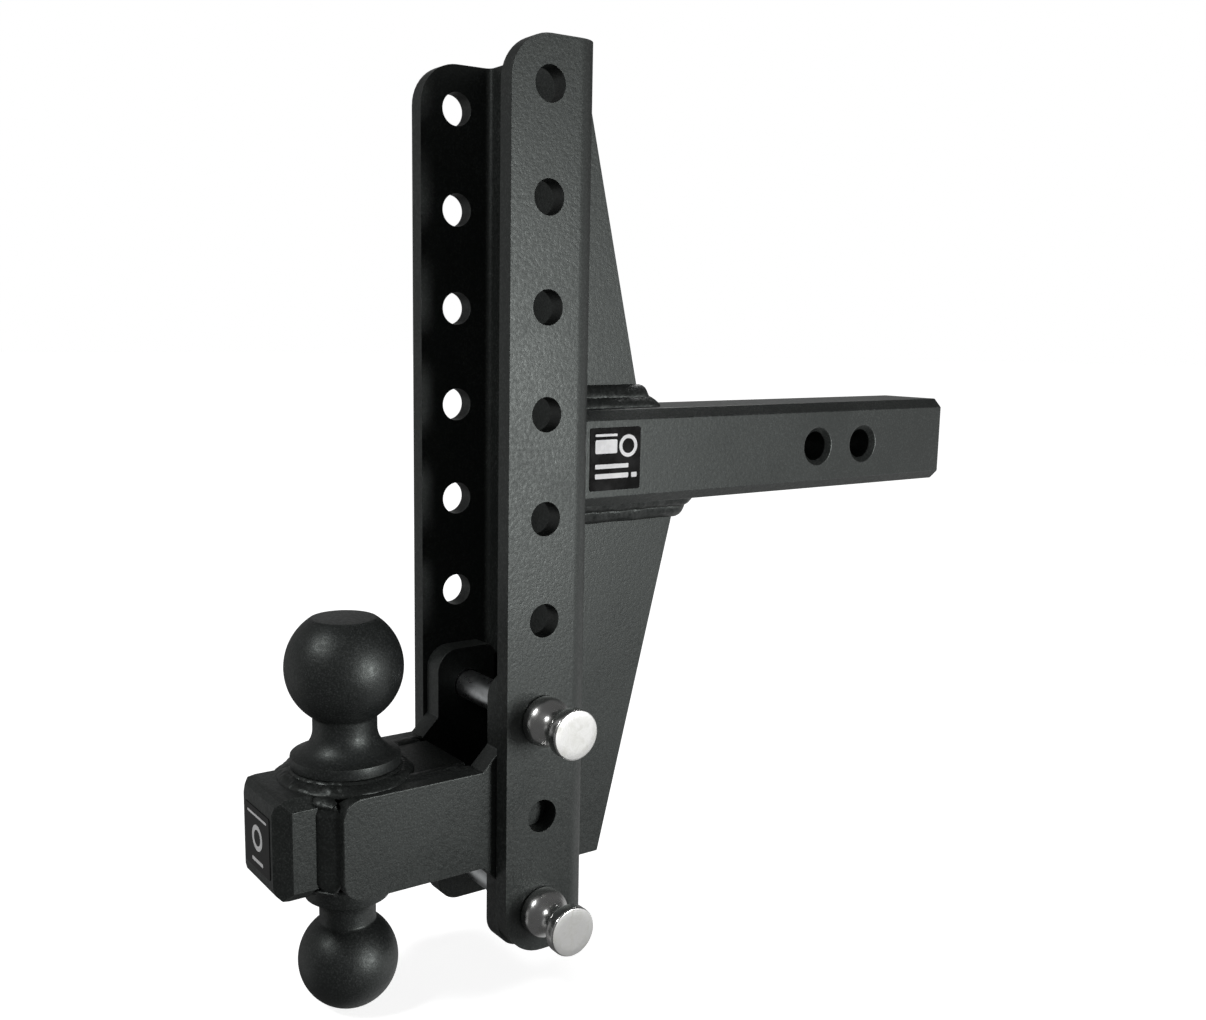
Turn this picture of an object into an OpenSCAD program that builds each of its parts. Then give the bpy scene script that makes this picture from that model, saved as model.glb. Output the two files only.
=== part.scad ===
// Adjustable drop hitch with a double-ended ball mount, in mm.
// Origin: axis of the front hitch-pin hole, centre of the shank.
// +X is the side with the pin heads, +Y runs along the shank to the vehicle, +Z is up.

/* [Shank] */
// Side of the square bar that fits the receiver tube
shank_w = 50.8; // [38:0.1:64]
// Flat corners along the bar
bar_bevel = 5.2; // [2:0.1:9]
// From the front pin hole to the free end of the bar
shank_back = 108.8; // [60:0.1:160]
// From the front pin hole to the channel's web
shank_front = 178.8; // [120:0.1:240]
// Distance between the two pin holes
pin_hole_gap = 38.1; // [30:0.1:60]
// Diameter of the pin holes
pin_hole_d = 17; // [14:0.1:20]
// Depth of the countersink round each hole's mouth
mouth = 2.8; // [1:0.1:4]

/* [Channel] */
// Outer width of the channel
chan_w = 96.2; // [80:0.1:120]
// Plate thickness
chan_t = 9.5; // [6:0.1:13]
// Depth from the web's back to the flange edge
chan_d = 51.2; // [40:0.1:80]
// Height of the channel
chan_h = 450.4; // [300:0.1:500]
// Top edge above the shank's centre line
chan_top = 200.8; // [100:0.1:250]
// Outer radius of the bends
bend_r = 12.7; // [10:0.1:20]
// Rounding of the flanges' free corners
corner_r = 21.5; // [5:0.1:22]
// Height step between holes
pitch = 50.8; // [40:0.1:60]
// Number of hole pairs
hole_count = 9; // [5:1:9]
// Edge distance of the first hole from the top
hole_edge = 22.2; // [18:0.1:30]
// Hole axis behind the flange edge
hole_in = 21.3; // [18:0.1:30]
// Hole pair, counted from the top, that the upper pin uses
used_hole = 7; // [3:1:7]

/* [Gussets] */
// Thickness of both gussets
gusset_t = 9.5; // [6:0.1:13]
// Height of the upper gusset
up_h = 152; // [80:1:170]
// Foot of the upper gusset, along the bar
up_foot = 61.3; // [40:0.1:90]
// Width of the upper gusset's nose
up_nose = 25.2; // [5:0.1:40]
// Height of the lower gusset
low_h = 202; // [100:1:220]
// Foot of the lower gusset, along the bar
low_foot = 88.9; // [60:0.1:110]
// Width of the lower gusset's nose
low_nose = 37.8; // [10:0.1:60]
// Leg of the fillet welds along the bar
weld_leg = 9; // [5:0.1:12]
// Leg of the same welds on the gusset
weld_rise = 11.5; // [5:0.1:14]

/* [Ball mount] */
// Thickness of the two cheek plates
cheek_t = 12.7; // [9:0.1:16]
// Front edge of the cheeks' arms, ahead of the front pin hole
arm_front = 313.5; // [260:0.1:360]
// Front edge of the cheeks' ears
ear_front = 227.8; // [215:0.1:240]
// Rear edge of the ears
ear_back = 192; // [190:0.1:200]
// Ear above the upper pin and below the lower pin
ear_over = 21.3; // [15:0.1:30]
// Bevel between ear and arm
ear_bevel = 9.6; // [4:0.1:15]
// Ear corner radius
ear_r = 12.5; // [5:0.1:18]
// Arm corner radius
arm_r = 10; // [4:0.1:18]
// Front of the centre bar
nose_front = 341; // [320:0.1:360]
// Rear of the centre bar
bar_rear = 238; // [225:0.1:260]
// Bevel on the nose's upright corners
nose_bevel = 7.4; // [2:0.1:12]
// Rounding of the nose's top and bottom front edges
nose_r = 7; // [2:0.1:12]

/* [Balls] */
// Ball axis ahead of the front pin hole
ball_y = 294.6; // [270:0.1:320]
// Upper ball diameter
top_d = 58.74; // [45:0.01:76]
// Upper ball centre above the bar's top face
top_rise = 54.1; // [40:0.1:70]
// Radius of the flat on top and of the neck
top_neck = 16; // [10:0.1:20]
// Radius of the upper collar
top_collar = 27.3; // [20:0.1:32]
// Lower ball diameter
low_d = 50.8; // [45:0.01:76]
// Lower ball centre below the bar's bottom face
low_drop = 47.9; // [35:0.1:70]
// Radius of the lower neck
low_neck = 14.3; // [10:0.1:20]
// Radius of the lower collar
low_collar = 21.5; // [16:0.1:30]

/* [Pins and clips] */
// Pin shaft diameter
pin_d = 15.88; // [12:0.01:16.5]
// Diameter of both discs of the spool head
head_d = 25.4; // [20:0.1:32]
// Length of the spool head
head_len = 28.4; // [20:0.1:40]
// Shaft past the far flange
pin_out = 14; // [10:0.1:30]
// Clip wire diameter
wire_d = 3.2; // [2:0.1:4.5]
// Clip axis past the far flange
clip_out = 5; // [3:0.1:9]

/* [Labels] */
// Thickness of the two plain labels
label_t = 0.4; // [0.2:0.1:1]
// Side of the shank label
label_w = 33; // [20:0.1:38]

/* [Hidden] */
$fn = 96;
half = shank_w / 2;
web_y = -shank_front;
flange_y = web_y - chan_d;
inner_x = chan_w / 2 - chan_t;
hole_y = flange_y + hole_in;
chan_bottom = chan_top - chan_h;
pin_z = [for (i = [used_hole - 1, used_hole + 1]) chan_top - hole_edge - i * pitch];
mid_z = (pin_z[0] + pin_z[1]) / 2;
arm_top = mid_z + half;
arm_bottom = mid_z - half;
tiny = 0.01;

// cylinder along X from x0 to x1
module xrod(x0, x1, y, z, r) {
  translate([x0, y, z])
    rotate([0, 90, 0])
      cylinder(h = x1 - x0, r = r);
}

// box from corner a to corner b
module box(a, b) {
  translate(a)
    cube(b - a);
}

// what a rounded corner takes off a plate that faces X
module corner_off(x0, x1, y, z, sy, sz, r) {
  difference() {
    translate([x0 - 1, sy > 0 ? y - r : y - 1, sz > 0 ? z - r : z - 1])
      cube([x1 - x0 + 2, r + 1, r + 1]);
    xrod(x0 - 2, x1 + 2, y - sy * r, z - sz * r, r);
  }
}

// bevelled square bar along Y
module bevel_bar(y0, y1, z) {
  h = half;
  b = half - bar_bevel;
  translate([0, y1, z])
    rotate([90, 0, 0])
      linear_extrude(y1 - y0)
        polygon([[h, b], [b, h], [-b, h], [-h, b], [-h, -b], [-b, -h], [b, -h], [h, -b]]);
}

// upright plate in the YZ plane, from a list of [y, z]
module upright_plate(pts, x0, x1) {
  translate([x0, 0, 0])
    rotate([90, 0, 90])
      linear_extrude(x1 - x0)
        polygon(pts);
}

// ---- channel ----
module channel_flange(side) {
  x0 = side > 0 ? inner_x : -chan_w / 2;
  x1 = x0 + chan_t;
  difference() {
    box([x0, flange_y, chan_bottom], [x1, web_y - bend_r, chan_top]);
    corner_off(x0, x1, flange_y, chan_top, -1, 1, corner_r);
    corner_off(x0, x1, flange_y, chan_bottom, -1, -1, corner_r);
    for (i = [0 : hole_count - 1])
      xrod(x0 - 1, x1 + 1, hole_y, chan_top - hole_edge - i * pitch, pin_hole_d / 2);
  }
}

module channel_bend(side) {
  cx = side * (chan_w / 2 - bend_r);
  cy = web_y - bend_r;
  intersection() {
    translate([cx, cy, chan_bottom])
      difference() {
        cylinder(h = chan_h, r = bend_r);
        translate([0, 0, -1])
          cylinder(h = chan_h + 2, r = bend_r - chan_t);
      }
    translate([side > 0 ? cx : cx - bend_r - 1, cy, chan_bottom - 1])
      cube([bend_r + 1, bend_r + 1, chan_h + 2]);
  }
}

module channel() {
  color("#2b2c2e")
    union() {
      for (side = [-1, 1]) {
        channel_flange(side);
        channel_bend(side);
      }
      box([bend_r - chan_w / 2, web_y - chan_t, chan_bottom],
        [chan_w / 2 - bend_r, web_y, chan_top]);
    }
}

// ---- shank ----
module shank() {
  color("#303134")
    difference() {
      bevel_bar(web_y, shank_back, 0);
      for (y = [0, pin_hole_gap]) {
        xrod(-half - 1, half + 1, y, 0, pin_hole_d / 2);
        for (side = [-1, 1])
          translate([side * (half - mouth), y, 0])
            rotate([0, side * 90, 0])
              cylinder(h = mouth + 1, r1 = pin_hole_d / 2, r2 = pin_hole_d / 2 + mouth + 1);
      }
    }
}

// ---- gussets ----
module gusset_upper() {
  color("#2f3033")
    upright_plate([[web_y, half], [web_y + up_foot, half], [web_y + up_nose, half + up_h],
      [web_y, half + up_h]], -gusset_t / 2, gusset_t / 2);
}

module gusset_lower() {
  color("#2f3033")
    upright_plate([[web_y, -half], [web_y, -half - low_h], [web_y + low_nose, -half - low_h],
      [web_y + low_foot, -half]], -gusset_t / 2, gusset_t / 2);
}

// fillet round three sides of a gusset's foot, and up both sides at the web
module gusset_weld(foot, nose, height, sz, toe) {
  w = gusset_t / 2;
  z0 = sz * half;
  hull() {
    translate([-w - weld_leg, web_y, min(z0, z0 + sz * tiny)])
      cube([2 * (w + weld_leg), foot + toe, tiny]);
    translate([-w - 0.5, web_y, sz > 0 ? z0 + weld_rise : z0 - weld_rise - tiny])
      cube([2 * w + 1, foot + 0.5, tiny]);
  }
  hull() {
    translate([-w - weld_leg + 1, web_y, sz > 0 ? half : -half - height])
      cube([2 * (w + weld_leg - 1), tiny, height]);
    translate([-w - 0.5, web_y + weld_leg - 1, sz > 0 ? half : -half - height])
      cube([2 * w + 1, tiny, height]);
  }
}

module weld_gusset_upper() {
  color("#26272a")
    difference() {
      gusset_weld(up_foot, up_nose, up_h - 4, 1, 14);
      gusset_upper();
    }
}

module weld_gusset_lower() {
  color("#26272a")
    difference() {
      gusset_weld(low_foot, low_nose, low_h - 4, -1, 11);
      gusset_lower();
    }
}

module weld_shank() {
  b = half + 7;
  color("#26272a")
    difference() {
      hull() {
        translate([0, web_y, 0])
          rotate([-90, 0, 0])
            linear_extrude(tiny)
              polygon([[b, b - 8], [b - 8, b], [8 - b, b], [-b, b - 8],
                [-b, 8 - b], [8 - b, -b], [b - 8, -b], [b, 8 - b]]);
        bevel_bar(web_y + 7.5, web_y + 8, 0);
      }
      bevel_bar(web_y - 1, web_y + 20, 0);
      for (sz = [-1, 1])
        translate([0, web_y, sz * (half + 10)])
          cube([gusset_t + 2 * weld_leg, 60, 20], center = true);
    }
}

// ---- labels ----
module label_shank() {
  color("#161616")
    box([half, web_y + 12.5, -label_w / 2], [half + label_t, web_y + 12.5 + label_w, label_w / 2]);
}

module label_nose() {
  color("#161616")
    box([-15.5, -nose_front - label_t, mid_z - 15.5], [15.5, -nose_front, mid_z + 15.5]);
}

// ---- ball mount ----
module cheek(x0) {
  x1 = x0 + cheek_t;
  et = pin_z[0] + ear_over;
  eb = pin_z[1] - ear_over;
  difference() {
    union() {
      difference() {
        box([x0, -ear_front, eb], [x1, -ear_back, et]);
        corner_off(x0, x1, -ear_front, et, -1, 1, ear_r);
        corner_off(x0, x1, -ear_front, eb, -1, -1, ear_r);
        corner_off(x0, x1, -ear_back, et, 1, 1, 6);
        corner_off(x0, x1, -ear_back, eb, 1, -1, 6);
      }
      difference() {
        box([x0, -arm_front, arm_bottom], [x1, -ear_front + 1, arm_top]);
        corner_off(x0, x1, -arm_front, arm_top, -1, 1, arm_r);
        corner_off(x0, x1, -arm_front, arm_bottom, -1, -1, arm_r);
      }
      upright_plate([[-ear_front - ear_bevel, arm_top], [-ear_front, arm_top + ear_bevel],
        [-ear_front + 1, arm_top + ear_bevel], [-ear_front + 1, arm_bottom - ear_bevel],
        [-ear_front, arm_bottom - ear_bevel], [-ear_front - ear_bevel, arm_bottom]], x0, x1);
    }
    for (z = pin_z)
      xrod(x0 - 1, x1 + 1, hole_y, z, pin_hole_d / 2);
  }
}

module cheek_near() {
  color("#2d2e31")
    cheek(half);
}

module cheek_far() {
  color("#2d2e31")
    cheek(-half - cheek_t);
}

module nose_edges() {
  r = nose_r;
  f = -nose_front;
  upright_plate([[f, arm_bottom + r], [f + 0.15 * r, arm_bottom + 0.5 * r],
    [f + 0.5 * r, arm_bottom + 0.15 * r], [f + r, arm_bottom], [-bar_rear, arm_bottom],
    [-bar_rear, arm_top], [f + r, arm_top], [f + 0.5 * r, arm_top - 0.15 * r],
    [f + 0.15 * r, arm_top - 0.5 * r], [f, arm_top - r]], -half - 1, half + 1);
}

module centre_bar() {
  f = -nose_front;
  b = nose_bevel;
  color("#303134")
    intersection() {
      bevel_bar(f, -bar_rear, mid_z);
      nose_edges();
      translate([0, 0, arm_bottom - 1])
        linear_extrude(shank_w + 2)
          polygon([[half - b, f], [half, f + b], [half, -bar_rear + 1],
            [-half, -bar_rear + 1], [-half, f + b], [b - half, f]]);
    }
}

// weld between one cheek and the centre bar, for side +1 or -1
module cheek_weld(side) {
  x = half;
  y = -arm_front;
  difference() {
    mirror([side > 0 ? 0 : 1, 0, 0])
      union() {
        translate([0, 0, arm_bottom + 4])
          linear_extrude(shank_w - 8)
            polygon([[x, y], [x, y - 8.5], [x + 3.5, y - 5.5], [x + 8.5, y]]);
        for (s = [-1, 1])
          translate([x + 1.5, y - 0.5, mid_z + s * (half - 7)])
            sphere(r = 6);
        for (s = [-1, 1])
          translate([0, -bar_rear, mid_z])
            rotate([90, 0, 0])
              linear_extrude(arm_front - bar_rear - 2)
                polygon([[x - 6.4, s * half], [x - 4.5, s * (half + 2.2)], [x, s * (half + 2.8)],
                  [x + 3.5, s * (half + 1.8)], [x + 5.2, s * half], [x, s * (half - 6)]]);
        translate([0, 0, arm_bottom + 4])
          linear_extrude(shank_w - 8)
            polygon([[x, -bar_rear], [x, -bar_rear + 8], [x - 4.5, -bar_rear + 5],
              [x - 8, -bar_rear]]);
      }
    centre_bar();
    cheek(side > 0 ? half : -half - cheek_t);
    translate([0, -ball_y, arm_top])
      cylinder(h = 20, r = top_collar + 6.8);
    translate([0, -ball_y, arm_bottom - 20])
      cylinder(h = 20, r = low_collar + 6);
  }
}

module weld_cheek_near() {
  color("#26272a")
    cheek_weld(1);
}

module weld_cheek_far() {
  color("#26272a")
    cheek_weld(-1);
}

// ---- balls ----
// height of a quarter-round flare of radius r at distance x out from the neck
function flare(r, x) = sqrt(max(0, r * r - pow(r - x, 2)));

// flared collar on a flat face: neck radius n, collar radius c, undercut g, rim t, flare r
module collar(n, c, g, t, r) {
  top = g + t + flare(r, c - n);
  rotate_extrude()
    polygon(concat([[0, 0], [c - 3.3, 0], [c - 3.3, g], [c, g], [c, g + t]],
      [for (i = [1 : 10])
        let (x = (c - n) * (1 - i / 10))
          [n + x, top - flare(r, x)]],
      [[0, top]]));
}

module ball_upper() {
  zc = arm_top + top_rise;
  flat = sqrt(pow(top_d / 2, 2) - pow(top_neck, 2));
  color("#2a2b2e")
    union() {
      translate([0, -ball_y, zc])
        intersection() {
          sphere(d = top_d);
          translate([0, 0, -5])
            cube([top_d + 2, top_d + 2, 2 * flat + 10], center = true);
        }
      translate([0, -ball_y, arm_top]) {
        cylinder(h = top_rise - flat + 2, r = top_neck);
        collar(top_neck, top_collar, 4.6, 5.6, 13);
      }
    }
}

module ball_lower() {
  zc = arm_bottom - low_drop;
  color("#2a2b2e")
    union() {
      translate([0, -ball_y, zc])
        sphere(d = low_d);
      translate([0, -ball_y, arm_bottom])
        mirror([0, 0, 1]) {
          cylinder(h = low_drop - 20, r = low_neck);
          collar(low_neck, low_collar, 4.2, 8.5, 7.2);
        }
    }
}

module ring_weld(c, g, w) {
  rotate_extrude()
    polygon([[c - 3.3, 0], [c + w, 0], [c + w - 0.8, 0.45 * g], [c + 0.5 * w, 0.9 * g],
      [c, g], [c - 3.3, g]]);
}

module weld_ball_upper() {
  color("#26272a")
    translate([0, -ball_y, arm_top])
      ring_weld(top_collar, 4.6, 6.7);
}

module weld_ball_lower() {
  color("#26272a")
    translate([0, -ball_y, arm_bottom])
      mirror([0, 0, 1])
        ring_weld(low_collar, 4.2, 5.5);
}

// ---- pins ----
module pin(z) {
  h = chan_w / 2 + 0.4;
  r = head_d / 2;
  far = -chan_w / 2 - pin_out;
  difference() {
    union() {
      xrod(far + 1.5, h + 1, hole_y, z, pin_d / 2);
      translate([far, hole_y, z])
        rotate([0, 90, 0])
          cylinder(h = 1.5, r1 = pin_d / 2 - 1.5, r2 = pin_d / 2);
      translate([h, hole_y, z])
        rotate([0, 90, 0])
          rotate_extrude()
            polygon([[0, 0], [r - 0.8, 0], [r, 1], [r, 4.2], [r - 0.5, 6], [r - 1.6, 7.8],
              [r - 3.2, 9.6], [r - 4.6, 11.4], [r - 5.4, 13.4], [r - 5.6, 15.6], [r - 5.2, 17.8],
              [r - 4, 19.8], [r - 2.2, 21.4], [r - 0.5, 22.4], [r, 23.4], [r, head_len - 1],
              [r - 1, head_len], [0, head_len]]);
    }
    translate([-chan_w / 2 - clip_out, hole_y, z - 12])
      cylinder(h = 24, d = wire_d + 0.7);
  }
}

module pin_upper() {
  color("#b9bcc0")
    pin(pin_z[0]);
}

module pin_lower() {
  color("#b9bcc0")
    pin(pin_z[1]);
}

// ---- clips ----
// hairpin of bent wire: one straight leg through the pin, one leg bowed round it
module clip(z) {
  bend = [for (a = [180 : -30 : 0]) [4 + 4 * cos(a), 26 + 4 * sin(a)]];
  bow = [[7, 18], [8.4, 12.5], [10.4, 8], [11.3, 3], [11.3, -3], [10.4, -8], [10.7, -15],
    [13.4, -23]];
  path = concat([[0, -26], [0, -2]], bend, bow);
  translate([-chan_w / 2 - clip_out, hole_y, z])
    for (i = [0 : len(path) - 2])
      hull() {
        translate([0, path[i][0], path[i][1]])
          sphere(d = wire_d, $fn = 16);
        translate([0, path[i + 1][0], path[i + 1][1]])
          sphere(d = wire_d, $fn = 16);
      }
}

module clip_upper() {
  color("#c7c9cc")
    clip(pin_z[0]);
}

module clip_lower() {
  color("#c7c9cc")
    clip(pin_z[1]);
}

channel();
shank();
gusset_upper();
gusset_lower();
weld_shank();
weld_gusset_upper();
weld_gusset_lower();
label_shank();
cheek_near();
cheek_far();
centre_bar();
label_nose();
weld_cheek_near();
weld_cheek_far();
ball_upper();
ball_lower();
weld_ball_upper();
weld_ball_lower();
pin_upper();
pin_lower();
clip_upper();
clip_lower();
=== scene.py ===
import bmesh
import bpy
import math
from mathutils import Matrix, Vector


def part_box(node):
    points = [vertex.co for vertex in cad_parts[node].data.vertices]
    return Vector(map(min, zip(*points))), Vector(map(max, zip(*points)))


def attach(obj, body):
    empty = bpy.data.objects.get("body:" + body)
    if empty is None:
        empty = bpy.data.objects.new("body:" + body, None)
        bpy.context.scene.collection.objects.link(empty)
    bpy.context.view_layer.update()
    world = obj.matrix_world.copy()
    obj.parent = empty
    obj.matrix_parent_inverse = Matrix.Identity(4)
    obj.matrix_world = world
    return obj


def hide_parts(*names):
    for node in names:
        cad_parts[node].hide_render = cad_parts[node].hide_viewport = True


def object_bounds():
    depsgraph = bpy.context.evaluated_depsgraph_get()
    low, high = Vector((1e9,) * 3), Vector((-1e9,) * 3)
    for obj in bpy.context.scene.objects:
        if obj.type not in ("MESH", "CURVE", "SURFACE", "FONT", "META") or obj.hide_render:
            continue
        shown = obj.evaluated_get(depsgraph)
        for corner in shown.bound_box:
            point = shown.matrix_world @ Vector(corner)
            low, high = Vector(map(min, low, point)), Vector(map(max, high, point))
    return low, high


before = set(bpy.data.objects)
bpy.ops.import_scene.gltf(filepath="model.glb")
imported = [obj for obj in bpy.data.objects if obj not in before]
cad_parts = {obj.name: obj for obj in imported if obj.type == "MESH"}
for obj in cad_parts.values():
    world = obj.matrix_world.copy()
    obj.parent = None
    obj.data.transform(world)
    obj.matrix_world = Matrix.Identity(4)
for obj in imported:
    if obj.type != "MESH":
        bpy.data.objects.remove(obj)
cadLow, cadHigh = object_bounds()
print("frame loaded:", len(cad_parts), "nodes")

# places that several pieces share, all from the frame, in metres
channelLow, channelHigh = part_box("channel")
shankLow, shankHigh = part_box("shank")
barLow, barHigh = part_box("centre_bar")
cheekLow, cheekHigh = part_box("cheek_near")
half = shankHigh.x              # half the width of the square bar
webY = channelHigh.y            # back of the channel's web
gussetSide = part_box("gusset_upper")[1].x
armTop = barHigh.z
armBottom = barLow.z
armFront = cheekLow.y
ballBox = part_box("ball_upper")
ballY = (ballBox[0].y + ballBox[1].y) / 2


# ---- camera ----
cameraSettings = {
    "spot": (0.546284, -0.545016, 0.068190),
    "turn": 56.373,             # degrees from straight ahead, toward the pins' heads
    "tilt": 9.455,
    "roll": 0.631,
    "lens": 37.24,
    "shift": (0.0548, 0.0198),
}


def placeCamera(c):
    turn, tilt, roll = (math.radians(c[k]) for k in ("turn", "tilt", "roll"))
    back = Vector((math.sin(turn) * math.cos(tilt), -math.cos(turn) * math.cos(tilt), math.sin(tilt)))
    right = Vector((math.cos(turn), math.sin(turn), 0))
    up = back.cross(right)
    side = right * math.cos(roll) + up * math.sin(roll)
    top = up * math.cos(roll) - right * math.sin(roll)
    data = bpy.data.cameras.new("camera")
    data.lens = c["lens"]
    data.sensor_width = 36
    data.shift_x, data.shift_y = c["shift"]
    data.clip_start, data.clip_end = 0.01, 100
    obj = bpy.data.objects.new("camera", data)
    bpy.context.scene.collection.objects.link(obj)
    obj.matrix_world = Matrix((
        (side.x, top.x, back.x, c["spot"][0]),
        (side.y, top.y, back.y, c["spot"][1]),
        (side.z, top.z, back.z, c["spot"][2]),
        (0, 0, 0, 1),
    ))
    bpy.context.scene.camera = obj


placeCamera(cameraSettings)
print("camera placed")


# ---- materials ----
def newMaterial(name):
    mat = bpy.data.materials.new(name)
    mat.use_nodes = True
    tree = mat.node_tree
    tree.nodes.clear()
    out = tree.nodes.new("ShaderNodeOutputMaterial")
    shader = tree.nodes.new("ShaderNodeBsdfPrincipled")
    tree.links.new(shader.outputs["BSDF"], out.inputs["Surface"])
    return mat, tree, shader


def objectCoords(tree):
    return tree.nodes.new("ShaderNodeTexCoord").outputs["Object"]


def noise(tree, coords, scale, detail=2.0, rough=0.5, distortion=0.0):
    node = tree.nodes.new("ShaderNodeTexNoise")
    node.inputs["Scale"].default_value = scale
    node.inputs["Detail"].default_value = detail
    node.inputs["Roughness"].default_value = rough
    node.inputs["Distortion"].default_value = distortion
    tree.links.new(coords, node.inputs["Vector"])
    return node.outputs["Fac"]


def ramp(tree, value, low, high, first, last):
    node = tree.nodes.new("ShaderNodeMapRange")
    node.inputs["From Min"].default_value = low
    node.inputs["From Max"].default_value = high
    node.inputs["To Min"].default_value = first
    node.inputs["To Max"].default_value = last
    tree.links.new(value, node.inputs["Value"])
    return node.outputs["Result"]


def mathNode(tree, kind, a, b):
    node = tree.nodes.new("ShaderNodeMath")
    node.operation = kind
    for slot, value in ((0, a), (1, b)):
        if isinstance(value, (int, float)):
            node.inputs[slot].default_value = value
        else:
            tree.links.new(value, node.inputs[slot])
    return node.outputs["Value"]


def blendColour(tree, factor, a, b):
    node = tree.nodes.new("ShaderNodeMix")
    node.data_type = "RGBA"
    node.inputs["A"].default_value = (*a, 1)
    node.inputs["B"].default_value = (*b, 1)
    tree.links.new(factor, node.inputs["Factor"])
    return node.outputs["Result"]


def bump(tree, height, strength, distance, below=None):
    node = tree.nodes.new("ShaderNodeBump")
    node.inputs["Strength"].default_value = strength
    node.inputs["Distance"].default_value = distance
    tree.links.new(height, node.inputs["Height"])
    if below is not None:
        tree.links.new(below, node.inputs["Normal"])
    return node.outputs["Normal"]


coatSettings = {
    "plate": {"dark": (0.0112, 0.0126, 0.0120), "light": (0.050, 0.054, 0.052), "rough": (0.38, 0.47),
              "grain": 1050, "grainDepth": 0.00010, "peel": 480, "peelDepth": 0.00013, "specular": 0.55},
    "edge": {"dark": (0.019, 0.0205, 0.0200), "light": (0.082, 0.087, 0.085), "rough": (0.33, 0.42),
             "grain": 1050, "grainDepth": 0.00008, "peel": 480, "peelDepth": 0.00014, "specular": 0.55},
    "weld": {"dark": (0.0096, 0.0105, 0.0101), "light": (0.034, 0.037, 0.036), "rough": (0.32, 0.44),
             "grain": 900, "grainDepth": 0.00010, "peel": 300, "peelDepth": 0.00030, "specular": 0.55},
    "ball": {"dark": (0.0112, 0.0125, 0.0122), "light": (0.047, 0.050, 0.050), "rough": (0.39, 0.48),
             "grain": 1150, "grainDepth": 0.00010, "peel": 560, "peelDepth": 0.00012, "specular": 0.55},
}


def coat(name, c):
    mat, tree, shader = newMaterial(name)
    here = objectCoords(tree)
    grain = noise(tree, here, c["grain"], 2.5, 0.6)
    peel = noise(tree, here, c["peel"], 2.0, 0.5)
    cloud = noise(tree, here, 22, 4, 0.6, 0.4)
    rub = noise(tree, here, 85, 5, 0.7, 1.2)
    # pigment: fine pale flecks, a little uneven from place to place
    fleck = ramp(tree, grain, 0.48, 0.70, 0.0, 1.0)
    drift = ramp(tree, cloud, 0.35, 0.70, 0.40, 0.95)
    pigment = blendColour(tree, mathNode(tree, "MULTIPLY", fleck, drift), c["dark"], c["light"])
    tree.links.new(pigment, shader.inputs["Base Color"])
    # sheen: cloudy and grained, with rubbed patches where the part was handled
    base = ramp(tree, cloud, 0.3, 0.7, c["rough"][0], c["rough"][1])
    worn = ramp(tree, rub, 0.62, 0.80, 0.0, -0.05)
    speckle = ramp(tree, peel, 0.35, 0.65, -0.05, 0.06)
    satin = mathNode(tree, "ADD", mathNode(tree, "ADD", base, worn), speckle)
    tree.links.new(satin, shader.inputs["Roughness"])
    shader.inputs["Specular IOR Level"].default_value = c["specular"]
    shader.inputs["IOR"].default_value = 1.5
    shader.inputs["Specular Tint"].default_value = (0.93, 1.0, 0.965, 1)
    soft = bump(tree, peel, 0.8, c["peelDepth"])
    tree.links.new(bump(tree, grain, 0.8, c["grainDepth"], soft), shader.inputs["Normal"])
    return mat


powderCoat = coat("powderCoat", coatSettings["plate"])
coatEdge = coat("coatEdge", coatSettings["edge"])
weldCoat = coat("weldCoat", coatSettings["weld"])
ballCoat = coat("ballCoat", coatSettings["ball"])

metalSettings = {
    "head": {"colour": (0.80, 0.80, 0.79), "stain": (0.64, 0.64, 0.62), "rough": (0.20, 0.32),
             "rings": 5200, "ringDepth": 0.000004},
    "face": {"colour": (0.60, 0.60, 0.59), "stain": (0.47, 0.47, 0.44), "rough": (0.42, 0.54),
             "rings": 3400, "ringDepth": 0.000016},
    "shaft": {"colour": (0.66, 0.68, 0.69), "stain": (0.48, 0.50, 0.50), "rough": (0.26, 0.40),
              "rings": 4200, "ringDepth": 0.000008},
    "wire": {"colour": (0.62, 0.62, 0.61), "stain": (0.40, 0.40, 0.38), "rough": (0.22, 0.36),
             "rings": 3000, "ringDepth": 0.000006},
}


# plated steel: turning marks run round the piece, read from its own "turned" attribute
def plated(name, c):
    mat, tree, shader = newMaterial(name)
    here = objectCoords(tree)
    own = tree.nodes.new("ShaderNodeAttribute")
    own.attribute_name = "turned"
    line = tree.nodes.new("ShaderNodeTexNoise")
    line.noise_dimensions = "1D"
    line.inputs["Scale"].default_value = c["rings"]
    line.inputs["Detail"].default_value = 3
    tree.links.new(own.outputs["Fac"], line.inputs["W"])
    stain = noise(tree, here, 160, 5, 0.65, 0.8)
    speck = noise(tree, here, 1300, 3, 0.6)
    tint = blendColour(tree, ramp(tree, stain, 0.45, 0.75, 0.0, 1.0), c["colour"], c["stain"])
    tree.links.new(tint, shader.inputs["Base Color"])
    haze = ramp(tree, stain, 0.35, 0.75, c["rough"][0], c["rough"][1])
    dull = mathNode(tree, "ADD", haze, ramp(tree, speck, 0.6, 0.8, 0.0, 0.06))
    tree.links.new(dull, shader.inputs["Roughness"])
    shader.inputs["Metallic"].default_value = 1.0
    soft = bump(tree, stain, 0.3, 0.00002)
    tree.links.new(bump(tree, line.outputs["Fac"], 0.5, c["ringDepth"], soft), shader.inputs["Normal"])
    return mat


pinHead = plated("pinHead", metalSettings["head"])
pinFace = plated("pinFace", metalSettings["face"])
pinShaft = plated("pinShaft", metalSettings["shaft"])
clipSteel = plated("clipSteel", metalSettings["wire"])

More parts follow.
